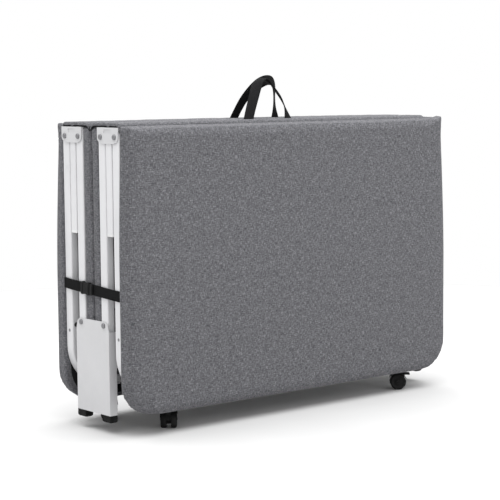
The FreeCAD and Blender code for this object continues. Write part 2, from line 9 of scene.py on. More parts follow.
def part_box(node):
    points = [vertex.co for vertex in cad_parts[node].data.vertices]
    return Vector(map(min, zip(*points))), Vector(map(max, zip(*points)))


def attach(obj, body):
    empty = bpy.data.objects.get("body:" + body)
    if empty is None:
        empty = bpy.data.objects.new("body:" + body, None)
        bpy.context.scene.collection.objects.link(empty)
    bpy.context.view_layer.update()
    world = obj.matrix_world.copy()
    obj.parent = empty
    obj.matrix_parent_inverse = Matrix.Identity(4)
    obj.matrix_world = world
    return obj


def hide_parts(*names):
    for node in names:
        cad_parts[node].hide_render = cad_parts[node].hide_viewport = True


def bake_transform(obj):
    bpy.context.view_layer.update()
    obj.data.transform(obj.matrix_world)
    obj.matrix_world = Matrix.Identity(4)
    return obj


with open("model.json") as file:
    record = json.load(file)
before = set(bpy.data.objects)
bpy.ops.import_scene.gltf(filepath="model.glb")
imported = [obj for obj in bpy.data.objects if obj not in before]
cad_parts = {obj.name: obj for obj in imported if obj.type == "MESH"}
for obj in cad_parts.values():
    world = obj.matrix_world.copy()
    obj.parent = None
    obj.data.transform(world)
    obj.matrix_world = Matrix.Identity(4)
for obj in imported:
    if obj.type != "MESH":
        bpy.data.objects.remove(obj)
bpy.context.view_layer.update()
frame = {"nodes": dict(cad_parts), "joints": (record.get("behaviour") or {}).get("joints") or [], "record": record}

# ---------------------------------------------------------------- places, read from the frame (metres)
HALVES = {"rear": 1, "front": -1}    # the front half is the rear one turned about Z, so its Y changes sign
PAD_LOW, PAD_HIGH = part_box("rear_outer_pad")
BOARD_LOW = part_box("rear_outer_board")[0]
INNER_LOW, INNER_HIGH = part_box("rear_inner_pad")
INNER_BOARD_LOW, INNER_BOARD_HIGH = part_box("rear_inner_board")
JOINTS = {joint["name"]: joint for joint in frame["joints"]}
Y_BOX, Z_BOX = JOINTS["rear_fold"]["pos_m"][1:]
Y_OUTER = JOINTS["rear_outer_hinge"]["pos_m"][1]
Y_LEG, Z_HANDLE = JOINTS["rear_handle_swing"]["pos_m"][1:]
BAR_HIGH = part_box("rear_leg_cross_bars")[1]
SOCKET_LOW, SOCKET_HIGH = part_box("strap_buckle_socket")
TONGUE_LOW, TONGUE_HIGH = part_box("strap_buckle_tongue")
HALF_W = PAD_HIGH.x

# ---------------------------------------------------------------- sizes of the Blender pieces (metres)
VOXEL = 0.0045           # mesh size of the cushions
SWELL_FRAMES = 18        # length of the cloth simulation
OUTER_PUFF = 0.0035      # the most that an outer cushion swells
INNER_PUFF = 0.0004
PLATE_REACH = 0.036      # an outer cushion keeps its width this far down, where the hinge plates pass it
BULGE_FADE = 0.24        # below that it grows, over this height,
BULGE_WIDE = 0.0062      # by this much at each end
BULGE_DEEP = 0.0042      # and by this much on its face
EAR_RISE = 0.0045        # the folded fabric corner stands up this far
PAD_CORNER = 0.067       # radius of the outer sections' lower corners
HEM = 0.008              # the fabric is turned in this far under a section's back
TOP_HEM = 0.012          # and this far at its top
LINING_OUT = 0.0012      # a lining's middle lies this far off its board
LINING_THICK = 0.0005
COVER_THICK = 0.0012
COVER_TUCK = {"outer": 0.0095, "inner": 0.0070}    # a cover's far edge is tucked down this far
WEAVE_PITCH = 0.0014     # one wave of the grey fabric's weave
RIB_PITCH = 0.0021       # one rib of the webbing
WEB_THICK = 0.002        # handle webbing
WEB_WIDTH = 0.0205
BAR_RADIUS = 0.008       # the bar that a handle is sewn round
WRAP_RADIUS = 0.0093     # the webbing's middle, round that bar
HANDLE_LEAN = math.radians(31.5)
HANDLE_BOW = 0.0015      # a handle's legs bow this far away from the middle
STRAP_WIDTH = 0.0198
STRAP_THICK = 0.0015
STRAP_Z = 0.261          # height of the strap over the middle
STRAP_RISE = 0.005       # it climbs this far from the middle to the rear outer hinge
STRAP_OUT = 0.0012       # its middle lies this far off the tubes
STRAP_FOLD = 0.0008      # radius of the fold at its ends
STRAP_REACH = 0.0103     # it ends this far past the outer hinge's axis
WHEEL_RADIUS = 0.0164
WHEEL_THICK = 0.0107
WHEEL_GAP = 0.0044       # from the fork's middle to a wheel's inner face
FLOOR_RADIUS = 1.9


# ---------------------------------------------------------------- number helpers
def clamp(value):
    """The value, kept between 0 and 1."""
    return min(1.0, max(0.0, value))


def bell(distance, width):
    """1 at no distance, and falling off on both sides over the width."""
    return math.exp(-(distance / width) ** 2)


# ---------------------------------------------------------------- shader helpers
class Shader:
    """A principled material built from nodes. A value given to an input is a number, a colour or a socket."""

    def __init__(self, name, **constants):
        self.material = bpy.data.materials.new(name)
        self.material.use_nodes = True
        self.tree = self.material.node_tree
        self.bsdf = self.tree.nodes["Principled BSDF"]
        coordinates = self.tree.nodes.new("ShaderNodeTexCoord")
        self.object, self.uv, self.normal = (coordinates.outputs[n] for n in ("Object", "UV", "Normal"))
        for key, value in constants.items():
            self.set(self.bsdf.inputs[key.replace("_", " ")], value)

    def set(self, socket, value):
        if isinstance(value, bpy.types.NodeSocket):
            self.tree.links.new(value, socket)
        else:
            socket.default_value = value

    def node(self, kind, inputs, output=0, **settings):
        made = self.tree.nodes.new("ShaderNode" + kind)
        for key, value in settings.items():
            setattr(made, key, value)
        for key, value in inputs.items():
            self.set(made.inputs[key], value)
        return made.outputs[output]

    def math(self, operation, a, b=0.0, c=0.0):
        return self.node("Math", {0: a, 1: b, 2: c}, operation=operation)

    def split(self, vector):
        parts = self.tree.nodes.new("ShaderNodeSeparateXYZ")
        self.set(parts.inputs[0], vector)
        return parts.outputs

    def combine(self, x, y, z=0.0):
        return self.node("CombineXYZ", {0: x, 1: y, 2: z})

    def choose(self, share, a, b):
        """a where share is 0, b where it is 1."""
        return self.node("Mix", {0: share, 2: a, 3: b})

    def noise(self, vector, scale, detail=2.0, roughness=0.5):
        return self.node("TexNoise", {"Vector": vector, "Scale": scale, "Detail": detail,
                                      "Roughness": roughness})

    def ramp(self, value, *stops):
        """Colour ramp from (position, grey or colour) stops."""
        made = self.tree.nodes.new("ShaderNodeValToRGB")
        elements = made.color_ramp.elements
        while len(elements) < len(stops):
            elements.new(0.5)
        for element, (position, colour) in zip(elements, stops):
            element.position = position
            element.color = (*colour, 1) if isinstance(colour, tuple) else (colour, colour, colour, 1)
        self.set(made.inputs[0], value)
        return made.outputs[0]

    def colour(self, value, *stops):
        self.set(self.bsdf.inputs["Base Color"], self.ramp(value, *stops))

    def roughness(self, value, *stops):
        self.set(self.bsdf.inputs["Roughness"], self.ramp(value, *stops))

    def bump(self, height, distance, strength):
        self.set(self.bsdf.inputs["Normal"],
                 self.node("Bump", {"Height": height, "Distance": distance, "Strength": strength}))

    def face_plane(self):
        """Cloth coordinates in metres: X and Z on a face that looks along Y, wrapped round the edges."""
        x, y, z = self.split(self.object)
        facing = self.split(self.normal)
        end = self.math("GREATER_THAN", self.math("ABSOLUTE", facing[0]), 0.72)
        top = self.math("GREATER_THAN", self.math("ABSOLUTE", facing[2]), 0.72)
        return self.choose(end, x, y), self.choose(top, z, y)


def grey_fabric():
    """Heathered plain weave: pale and dark yarns in both directions."""
    s = Shader("grey_fabric", Roughness=0.97, Sheen_Weight=0.08, Sheen_Roughness=0.5, Specular_IOR_Level=0.08)
    u, v = s.face_plane()
    weft = s.noise(s.combine(s.math("MULTIPLY", u, 150.0), s.math("MULTIPLY", v, 520.0)), 1.0, 3.0, 0.6)
    warp = s.noise(s.combine(s.math("MULTIPLY", u, 520.0), s.math("MULTIPLY", v, 150.0), 7.0), 1.0, 3.0, 0.6)
    yarn = s.choose(0.5, weft, warp)
    cloud = s.noise(s.combine(u, v), 60.0, 4.0, 0.6)
    tone = s.choose(0.12, yarn, cloud)
    s.colour(tone, (0.38, (0.050, 0.050, 0.0555)), (0.47, (0.097, 0.097, 0.105)),
             (0.54, (0.136, 0.136, 0.146)), (0.64, (0.238, 0.238, 0.252)))
    over = s.math("SINE", s.math("MULTIPLY", u, 2 * math.pi / WEAVE_PITCH))
    under = s.math("SINE", s.math("MULTIPLY", v, 2 * math.pi / WEAVE_PITCH))
    weave = s.math("MULTIPLY", over, under)
    s.bump(s.math("ADD", s.math("MULTIPLY", weave, 0.30), yarn), 0.0009, 0.7)
    return s.material


def white_paint(name, level):
    """Powder coat on steel: fine orange peel, faint scuffs and grime."""
    s = Shader(name, Coat_Weight=0.05, Coat_Roughness=0.3, Specular_IOR_Level=0.25)
    peel = s.noise(s.object, 900.0, 2.0, 0.5)
    scuff = s.noise(s.object, 14.0, 6.0, 0.7)
    tones = [(place, (level * tone, level * tone, level * tone * 1.02))
             for place, tone in ((0.25, 0.88), (0.42, 0.97), (0.80, 1.03))]
    s.colour(scuff, *tones)
    s.roughness(scuff, (0.30, 0.52), (0.65, 0.36))
    s.bump(peel, 0.00008, 0.6)
    return s.material


def black_webbing():
    """Flat polyester webbing. Its mesh carries UVs in metres, across and along."""
    s = Shader("black_webbing", Roughness=0.9, Specular_IOR_Level=0.08)
    u, v = s.split(s.uv)[:2]
    chevron = s.math("PINGPONG", s.math("MULTIPLY", u, 160.0), 1.0)
    phase = s.math("MULTIPLY", v, 2 * math.pi / RIB_PITCH)
    rib = s.math("SINE", s.math("ADD", phase, s.math("MULTIPLY", chevron, 3.0)))
    fuzz = s.noise(s.combine(s.math("MULTIPLY", u, 900.0), s.math("MULTIPLY", v, 900.0)), 1.0, 3.0, 0.6)
    height = s.math("ADD", s.math("MULTIPLY", rib, 0.5), fuzz)
    # The colour follows the relief of ribs and fuzz: painted shade in the troughs, lighter on the crests.
    s.colour(height, (0.1, (0.003, 0.003, 0.0032)), (1.0, (0.014, 0.014, 0.0146)))
    s.bump(height, 0.0004, 0.7)
    return s.material


def moulded(name, dark, light, roughness, grain, depth):
    """Moulded plastic or rubber with a spark-eroded grain."""
    s = Shader(name, Specular_IOR_Level=0.1)
    fine = s.noise(s.object, grain, 3.0, 0.6)
    wear = s.noise(s.object, 45.0, 5.0, 0.65)
    s.colour(wear, (0.3, dark), (0.75, light))
    s.roughness(wear, (0.3, roughness + 0.08), (0.7, roughness - 0.06))
    s.bump(fine, depth, 0.6)
    return s.material


def lining():
    """Black non-woven dust cover: pressed fibres and rows of dots. It is also the painted shade on the covers'
    turned-down ends.
    """
    s = Shader("black_lining_and_shade", Roughness=0.95, Specular_IOR_Level=0.06)
    axes = s.split(s.object)
    face = s.combine(axes[0], axes[2])
    cell = s.node("TexVoronoi", {"Vector": face, "Scale": 420.0, "Randomness": 0.1})
    fibre = s.noise(s.object, 260.0, 5.0, 0.7)
    s.colour(fibre, (0.3, (0.006, 0.006, 0.0065)), (0.75, (0.020, 0.020, 0.021)))
    s.bump(s.math("ADD", cell, fibre), 0.0003, 0.6)
    return s.material


def plywood():
    """Sanded birch ply: long grain on the faces."""
    s = Shader("plywood", Roughness=0.6)
    x, y, z = s.split(s.object)
    grain = s.noise(s.combine(s.math("MULTIPLY", x, 6.0), y, s.math("MULTIPLY", z, 110.0)), 1.0, 6.0, 0.6)
    s.colour(grain, (0.3, (0.36, 0.24, 0.13)), (0.7, (0.62, 0.47, 0.29)))
    s.bump(grain, 0.0003, 0.5)
    return s.material


def metal(name, colour, roughness, metallic):
    """Small fasteners: turned or plated metal with fine marks."""
    s = Shader(name, Metallic=metallic)
    marks = s.noise(s.object, 700.0, 4.0, 0.7)
    s.colour(marks, (0.3, tuple(c * 0.75 for c in colour)), (0.7, colour))
    s.roughness(marks, (0.3, roughness + 0.12), (0.7, roughness))
    s.bump(marks, 0.00005, 0.5)
    return s.material


FABRIC = grey_fabric()
PAINT = white_paint("white_paint", 0.61)
# A darker copy of the same white paint for the box and hinge plates: painted shade.
SHEET_PAINT_SHADED = white_paint("sheet_paint_painted_shade", 0.515)
WEBBING = black_webbing()
LINING_AND_SHADE = lining()
PLY = plywood()
PLASTIC = moulded("black_plastic", (0.005, 0.005, 0.005), (0.014, 0.014, 0.0145), 0.42, 1200.0, 0.00006)
RUBBER = moulded("black_rubber", (0.006, 0.006, 0.006), (0.018, 0.018, 0.018), 0.68, 800.0, 0.0001)
WHITE_PLASTIC = moulded("white_plastic", (0.58, 0.58, 0.58), (0.70, 0.70, 0.70), 0.5, 1000.0, 0.00006)
RIVET = metal("rivet", (0.24, 0.24, 0.25), 0.34, 0.75)
BLACK_STEEL = metal("black_steel", (0.022, 0.022, 0.022), 0.38, 0.6)

SLOT_MATERIALS = {
    "white_paint": PAINT, "grey_fabric": FABRIC, "black_webbing": WEBBING, "black_plastic": PLASTIC,
    "black_rubber": RUBBER, "white_plastic": WHITE_PLASTIC, "plywood": PLY, "black_steel": BLACK_STEEL,
}


def dress_cad_nodes():
    """Every CAD node takes the material of its slot. Sheet metal and bolts have their own: the sheet metal takes a
    darker copy of the white paint, as painted shade.
    """
    slots = {part["node"]: part["material_slot"] for part in frame["record"]["subparts"]}
    for name, node in frame["nodes"].items():
        material = SLOT_MATERIALS[slots[name]]
        if name.endswith("_bolts"):
            material = RIVET
        # The box and hinge plates take the darker white: painted shade.
        elif name.startswith("centre_box") or name.endswith("hinge_plates"):
            material = SHEET_PAINT_SHADED
        node.data.materials.clear()
        node.data.materials.append(material)


# ---------------------------------------------------------------- mesh helpers
def new_object(name, mesh, material, smooth=True):
    obj = bpy.data.objects.new(name, mesh)
    bpy.context.scene.collection.objects.link(obj)
    mesh.materials.append(material)
    if smooth:
        mesh.polygons.foreach_set("use_smooth", [True] * len(mesh.polygons))
    return obj


def mesh_from(name, points, faces, uvs=None):
    mesh = bpy.data.meshes.new(name)
    mesh.from_pydata([tuple(p) for p in points], [], faces)
    if uvs:
        layer = mesh.uv_layers.new(name="cloth")
        for loop in mesh.loops:
            layer.data[loop.index].uv = uvs[loop.vertex_index]
    mesh.update()
    return mesh


def apply_modifiers(obj):
    """Bakes an object's modifiers into its mesh."""
    evaluated = obj.evaluated_get(bpy.context.evaluated_depsgraph_get())
    mesh = bpy.data.meshes.new_from_object(evaluated)
    obj.modifiers.clear()
    obj.data = mesh


def solid(name, outline, near, far, place):
    """Closed solid: a flat outline between two depths. place(u, v, depth) puts a point in space."""
    count = len(outline)
    points = [place(u, v, near) for u, v in outline] + [place(u, v, far) for u, v in outline]
    faces = [tuple(range(count)), tuple(reversed(range(count, 2 * count)))]
    faces += [(i, i + count, (i + 1) % count + count, (i + 1) % count) for i in range(count)]
    mesh = mesh_from(name, points, faces)
    clean = bmesh.new()
    clean.from_mesh(mesh)
    bmesh.ops.recalc_face_normals(clean, faces=clean.faces)
    clean.to_mesh(mesh)
    clean.free()
    return mesh


def upright(u, v, depth):
    """Places an XZ outline by its depth in Y."""
    return (u, depth, v)


def outer_outline(inset, top_inset, steps=14):
    """Outline of an outer section, moved inwards: square at the top, round at the two lower corners."""
    half, low, high = HALF_W - inset, PAD_LOW.z + inset, PAD_HIGH.z - top_inset
    radius = PAD_CORNER - inset
    points = [(-half, high), (half, high)]
    for i in range(steps + 1):
        a = math.pi / 2 * i / steps
        points.append((half - radius + radius * math.cos(a), low + radius - radius * math.sin(a)))
    for i in range(steps + 1):
        a = math.pi / 2 * i / steps
        points.append((-half + radius - radius * math.sin(a), low + radius - radius * math.cos(a)))
    return points


# ---------------------------------------------------------------- pads
def swell(obj, pressure, cap, is_backed):
    """Cloth simulation: the closed form swells under pressure, except where it is backed by its board."""
    remesh = obj.modifiers.new("remesh", "REMESH")
    remesh.mode = "VOXEL"
    remesh.voxel_size = VOXEL
    apply_modifiers(obj)
    mesh = obj.data
    start = [v.co.copy() for v in mesh.vertices]
    group = obj.vertex_groups.new(name="backed")
    group.add([i for i, p in enumerate(start) if is_backed(p)], 1.0, "REPLACE")
    cloth = obj.modifiers.new("cloth", "CLOTH")
    settings = cloth.settings
    settings.quality = 4
    settings.mass = 0.25
    settings.tension_stiffness = settings.compression_stiffness = 12.0
    settings.bending_stiffness = 0.6
    settings.use_pressure = True
    settings.uniform_pressure_force = pressure
    settings.vertex_group_mass = "backed"
    settings.effector_weights.gravity = 0.0
    cloth.collision_settings.use_collision = False
    scene = bpy.context.scene
    for step in range(1, SWELL_FRAMES + 1):
        scene.frame_set(step)
    evaluated = obj.evaluated_get(bpy.context.evaluated_depsgraph_get())
    moved = [v.co.copy() for v in evaluated.data.vertices]
    obj.modifiers.clear()
    obj.vertex_groups.clear()
    scene.frame_set(1)
    for vertex, p, q in zip(mesh.vertices, start, moved):
        travel = q - p
        if travel.length > cap:
            travel *= cap / travel.length
        vertex.co = p + travel
    mesh.update()


def relax(obj, rounds):
    """Evens out the steps that the voxels leave."""
    smooth = obj.modifiers.new("relax", "SMOOTH")
    smooth.factor = 0.5
    smooth.iterations = rounds
    apply_modifiers(obj)


def finish_pad(form, half, section):
    """The finished rear pad, or the same one turned round for the front half."""
    mesh = form.data.copy()
    if half == "front":
        mesh.transform(Matrix.Rotation(math.pi, 4, "Z"))
    body = f"{half}_{section}"
    mesh.materials.clear()
    piece = new_object(body + "_cushion", mesh, FABRIC)
    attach(piece, body)
    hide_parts(body + "_pad", body + "_board")


def ripple(p, scale, seed):
    """Smooth unevenness. The scale is in waves per metre, and the seed shifts it along X."""
    return noise.noise(Vector((p.x * scale + seed, p.y * scale, p.z * scale)))


def outer_pad():
    """Foam and board in one tight fabric wrap. The top corner at one end stands up where it is folded."""
    back, face = BOARD_LOW.y, PAD_HIGH.y + 0.0005
    wrap = back + 0.004    # up to here the board holds the fabric
    form = solid("outer_pad_form", outer_outline(0.0, 0.0), back - 0.0003, face, upright)
    obj = new_object("outer_pad_form", form, FABRIC)
    swell(obj, 3.0, OUTER_PUFF, lambda p: p.y < wrap)
    relax(obj, 2)
    top, half = PAD_HIGH.z, HALF_W
    for vertex in obj.data.vertices:
        p = vertex.co
        low_share = clamp((top - PLATE_REACH - p.z) / BULGE_FADE)
        p.x *= 1 + BULGE_WIDE * math.sin(math.pi / 2 * low_share) / half
        if p.z > top - PLATE_REACH:
            p.x = min(half, max(-half, p.x))
        if p.y > wrap:
            p.y += BULGE_DEEP * low_share * (p.y - back) / (face - back)
            ear = bell(half + p.x, 0.022) * bell(top - p.z, 0.02)
            p.z += EAR_RISE * ear
            p.z += 0.0010 * bell(top - p.z, 0.03) * ripple(p, 14.0, 3.0)
            p.y += 0.0012 * ripple(p, 5.0, 11.0)
        else:
            p.y = max(p.y, back - 0.0004)
    return obj


def inner_pad():
    """As the outer pad, with its lower end rolled about the box pivot."""
    back, face = INNER_BOARD_HIGH.y, INNER_LOW.y - 0.0004
    top, half = INNER_HIGH.z - 0.0008, HALF_W - 0.0004
    radius = Y_BOX - face
    profile = [(back, top), (face, top)]
    steps = 10
    whole_roll = math.pi / 2 * 0.78
    for i in range(steps + 1):
        a = math.pi + whole_roll * i / steps
        profile.append((Y_BOX + radius * math.cos(a), Z_BOX + radius * math.sin(a)))
    profile.append((back, profile[-1][1]))
    mesh = solid("inner_pad_form", profile, -half, half, lambda y, z, x: (x, y, z))
    obj = new_object("inner_pad_form", mesh, FABRIC)
    swell(obj, 2.0, INNER_PUFF, lambda p: p.y > back - 0.003)
    relax(obj, 1)
    for vertex in obj.data.vertices:
        p = vertex.co
        p.z += 0.0015 * bell(INNER_HIGH.z - p.z, 0.03) * ripple(p, 16.0, 23.0)
    return obj


def build_pads():
    """Each form is simulated once, and both halves of the cot use it."""
    forms = {"outer": outer_pad(), "inner": inner_pad()}
    for half in HALVES:
        for section, form in forms.items():
            finish_pad(form, half, section)
    for form in forms.values():
        bpy.data.objects.remove(form)


# ---------------------------------------------------------------- flat cloth
def grid_mesh(name, rows):
    """Quads through rows of points, with UVs in metres across and along."""
    width = len(rows[0])
    points, uvs, along = [], [], 0.0
    for i, row in enumerate(rows):
        along += (Vector(row[0]) - Vector(rows[i - 1][0])).length if i else 0.0
        across = 0.0
        for j, point in enumerate(row):
            across += (Vector(point) - Vector(row[j - 1])).length if j else 0.0
            points.append(point)
            uvs.append((across, along))
    faces = [(i * width + j, i * width + j + 1, (i + 1) * width + j + 1, (i + 1) * width + j)
             for i in range(len(rows) - 1) for j in range(width - 1)]
    return mesh_from(name, points, faces, uvs)


def thicken(obj, thickness):
    """Gives a sheet its thickness, half on each side."""
    shell = obj.modifiers.new("thickness", "SOLIDIFY")
    shell.thickness = thickness
    shell.offset = 0.0
    apply_modifiers(obj)


def lining_sheets():
    """Black dust covers over the boards' backs, inside the fabric's turned-in hem."""
    x, low, high = HALF_W - HEM, INNER_BOARD_LOW.z + HEM, INNER_HIGH.z - TOP_HEM
    sheets = (("outer", outer_outline(HEM, TOP_HEM), BOARD_LOW.y - LINING_OUT),
              ("inner", [(-x, low), (x, low), (x, high), (-x, high)], INNER_BOARD_HIGH.y + LINING_OUT))
    for half, sign in HALVES.items():
        for section, outline, y in sheets:
            name = f"{half}_{section}_lining"
            mesh = solid(name, outline, y - LINING_THICK / 2, y + LINING_THICK / 2, upright)
            obj = new_object(name, mesh, LINING_AND_SHADE, smooth=False)
            if sign < 0:
                obj.data.transform(Matrix.Rotation(math.pi, 4, "Z"))
            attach(obj, f"{half}_{section}")


def cover_height(x, y):
    """Top of the fabric that bridges a pair of sections. y runs from the middle of the bed outwards."""
    crown = 0.0058 - 0.0014 * (x + HALF_W) / (2 * HALF_W)
    if y > Y_LEG:
        crown -= 0.0034 * clamp((x - 0.30) / 0.09) ** 2
    seam = 0.0030 * bell(y - Y_LEG, 0.0035)
    wave = 0.0011 * noise.noise(Vector((x * 9.0, y * 14.0, 5.0)))
    wave += 0.0005 * noise.noise(Vector((x * 45.0, y * 60.0, 9.0)))
    return PAD_HIGH.z + crown - seam + wave


def cover_rows(part, sign, near, far):
    """Rows of points from a cover's left end to its right, with a hem turned down at both ends."""
    columns, strips = 161, 14
    rows = []
    for i in range(columns):
        x = (-1 + 2 * i / (columns - 1)) * (HALF_W - 0.0015)
        row = []
        for j in range(strips + 1):
            t = j / strips
            y = near + (far - near) * t
            tuck = max(0.0, (t - 0.80) / 0.20)
            row.append((x, sign * y, cover_height(x, y) - COVER_TUCK[part] * tuck ** 2))
        rows.append(row)
    for end, side in ((rows[0], -1), (rows[-1], 1)):
        hem = [[(x + side * dx, y, z - dz) for x, y, z in end]
               for dx, dz in ((0.0012, 0.0010), (0.0018, 0.0030), (0.0016, 0.0050), (0.0008, 0.0085))]
        rows = hem[::-1] + rows if side < 0 else rows + hem
    return rows


def cover_sheets():
    """Fabric across the tops of the slots: a sheet on each side of the seam that the handles come out of."""
    outer_edge, inner_edge = BOARD_LOW.y + 0.0012, 0.0022
    for half, sign in HALVES.items():
        for part, near, far, body in (("outer", Y_LEG, outer_edge, half + "_outer"),
                                      ("inner", Y_LEG, inner_edge, half + "_inner")):
            name = f"{half}_{part}_cover"
            rows = cover_rows(part, sign, near, far)
            obj = new_object(name, grid_mesh(name, rows), FABRIC)
            # The lowest strip of each turned-down end hem takes the black: painted shade for the dark gap under
            # the fabric's edge, above the hinge plates.
            obj.data.materials.append(LINING_AND_SHADE)
            quads_per_row = len(rows[0]) - 1
            for face in obj.data.polygons:
                if not 1 <= face.index // quads_per_row < len(rows) - 2:
                    face.material_index = 1
            thicken(obj, COVER_THICK)
            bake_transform(obj)


# ---------------------------------------------------------------- webbing
def curve_through(points, steps):
    """Catmull-Rom curve through points, each a list of numbers."""
    ends = [[2 * a - b for a, b in zip(points[0], points[1])]] + points
    ends.append([2 * a - b for a, b in zip(points[-1], points[-2])])
    out = []
    for i in range(1, len(ends) - 2):
        a, b, c, d = ends[i - 1:i + 3]
        for k in range(steps):
            t = k / steps
            out.append([0.5 * (2 * q + (r - p) * t + (2 * p - 5 * q + 4 * r - s) * t * t
                               + (3 * q - p - 3 * r + s) * t ** 3) for p, q, r, s in zip(a, b, c, d)])
    return out + [list(points[-1])]


def ribbon(name, stations, width, thickness):
    """Flat webbing through (place, direction across) stations, with rounded selvedges."""
    over = [(-0.5, 0.0), (-0.49, 0.35), (-0.46, 0.5), (-0.2, 0.5), (0.2, 0.5), (0.46, 0.5), (0.49, 0.35)]
    section = over + [(-a, -b) for a, b in over]
    points, uvs, along = [], [], 0.0
    for i, (place, across) in enumerate(stations):
        ahead, behind = stations[min(i + 1, len(stations) - 1)][0], stations[max(i - 1, 0)][0]
        tangent = (ahead - behind).normalized()
        across = (across - tangent * across.dot(tangent)).normalized()
        out = tangent.cross(across)
        along += (place - stations[i - 1][0]).length if i else 0.0
        for a, b in section:
            points.append(place + across * (a * width) + out * (b * thickness))
            uvs.append((a * width, along))
    n, count = len(section), len(stations)
    faces = [(i * n + j, i * n + (j + 1) % n, (i + 1) * n + (j + 1) % n, (i + 1) * n + j)
             for i in range(count - 1) for j in range(n)]
    faces += [tuple(reversed(range(n))), tuple(range((count - 1) * n, count * n))]
    return new_object(name, mesh_from(name, points, faces, uvs), WEBBING)


# A handle's path as (x, rise along its lean, twist in degrees), millimetres, from its left end to its right.
HANDLE_PATHS = {
    "rear": [(-21, 0, 0), (-17, 24, 0), (-11, 50, 6), (1, 74, 24), (13, 87, 44), (28, 93, 50), (43, 89, 48),
             (57, 70, 48), (69, 44, 50), (79, 20, 36), (88, 0, 4)],
    "front": [(-77, 0, 0), (-60, 26, 0), (-41, 52, 6), (-23, 76, 26), (-9, 90, 50), (6, 96, 54), (17, 89, 50),
              (22, 73, 50), (28, 50, 50), (29, 24, 38), (26, 0, 4)],
}


def round_bar(x, across, sign):
    """Stations of a handle's end: round the hinge leg's upper bar from below, then up to the slot's top."""
    bar_z = BAR_HIGH.z - BAR_RADIUS
    places = []
    for degrees in range(-215, 1, 15):
        a = math.radians(degrees)
        y = sign * (Y_LEG + WRAP_RADIUS * math.cos(a))
        places.append(Vector((x, y, bar_z + WRAP_RADIUS * math.sin(a))))
    for dy, rise in ((0.0080, 0.008), (0.0040, 0.018), (0.0012, 0.028), (0.0, 0.036)):
        places.append(Vector((x, sign * (Y_LEG + dy), bar_z + rise)))
    return [(place, across) for place in places]


def handles():
    """Webbing loops sewn round the hinge legs' upper bars. They lean together over the middle."""
    for half, sign in HALVES.items():
        up = Vector((0, -sign * math.sin(HANDLE_LEAN), math.cos(HANDLE_LEAN)))
        normal = Vector((0, math.cos(HANDLE_LEAN), sign * math.sin(HANDLE_LEAN)))
        foot = Vector((0, sign * Y_LEG, Z_HANDLE))
        stations = []
        path = curve_through(HANDLE_PATHS[half], 8)
        for i, (x, rise, twist) in enumerate(path):
            a, b = path[max(i - 1, 0)], path[min(i + 1, len(path) - 1)]
            tangent = Vector(((b[0] - a[0]), 0, 0)) + up * (b[1] - a[1])
            in_plane = tangent.cross(normal).normalized()
            bow = normal * (sign * HANDLE_BOW * math.sin(math.pi * min(rise / 80, 1.0)))
            angle = math.radians(twist)
            stations.append((foot + Vector((x / 1000, 0, 0)) + up * (rise / 1000) + bow,
                             in_plane * math.cos(angle) + normal * math.sin(angle)))
        left = round_bar(stations[0][0].x, Vector((-1, 0, 0)), sign)
        right = round_bar(stations[-1][0].x, Vector((1, 0, 0)), sign)
        whole = left + stations[1:-1] + right[::-1]
        obj = ribbon(half + "_handle_webbing", whole, WEB_WIDTH, WEB_THICK)
        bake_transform(obj)
        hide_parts(half + "_handle", half + "_handle_anchors")


# ---------------------------------------------------------------- closing strap
STRAP_SLOPE = math.atan2(STRAP_RISE, Y_OUTER)


def on_strap(along, up, out):
    """A place on the closing strap: along towards the rear, up across it, and out from the bed's left end."""
    lengthwise = Vector((0, math.cos(STRAP_SLOPE), math.sin(STRAP_SLOPE)))
    crosswise = Vector((0, -math.sin(STRAP_SLOPE), math.cos(STRAP_SLOPE)))
    return Vector((-HALF_W - 0.0004 - out, 0, STRAP_Z)) + lengthwise * along + crosswise * up


def strap_half(half, from_y, to_y):
    """One half of the strap, from the buckle to the outer section's tube, its end folded under and sewn."""
    stations = []
    steps = 40
    upwards = Vector((0, 0, 1))
    for i in range(steps + 1):
        t = i / steps
        y = from_y + (to_y - from_y) * t
        lift = 0.0022 * math.sin(math.pi * t) * (1 if half == "rear" else 0.6)
        stations.append((on_strap(y, 0.0, STRAP_OUT + lift), upwards))
    fold = math.copysign(STRAP_FOLD, to_y - from_y)
    for degrees in range(0, 121, 30):
        a = math.radians(degrees)
        out = STRAP_OUT - STRAP_FOLD + STRAP_FOLD * math.cos(a)
        stations.append((on_strap(to_y + fold * math.sin(a), 0.0, out), upwards))
    obj = ribbon(half + "_strap_webbing", stations, STRAP_WIDTH, STRAP_THICK)
    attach(obj, half + "_outer")
    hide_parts(half + "_strap")


def moulding(name, body, parts, replaced):
    """A moulded piece of the buckle: outlines given along and across the strap, each with its own depths."""
    shapes = bmesh.new()
    for outline, near, far in parts:
        part = solid(name, outline, near, far, lambda u, v, depth: tuple(on_strap(u, v, depth)))
        shapes.from_mesh(part)
        bpy.data.meshes.remove(part)
    mesh = bpy.data.meshes.new(name)
    shapes.to_mesh(mesh)
    shapes.free()
    obj = new_object(name, mesh, PLASTIC, smooth=False)
    edge = obj.modifiers.new("edge", "BEVEL")
    edge.width, edge.segments, edge.limit_method = 0.0007, 3, "ANGLE"
    apply_modifiers(obj)
    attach(obj, body)
    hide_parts(replaced)


def crossbar(start, end, half_width):
    """Outline of a straight bar across the strap."""
    return [(start, -half_width), (end, -half_width), (end, half_width), (start, half_width)]


def mirrored(lower):
    """An outline from its lower edge, the same on both sides of the strap's middle."""
    return lower + [(u, -v) for u, v in reversed(lower)]


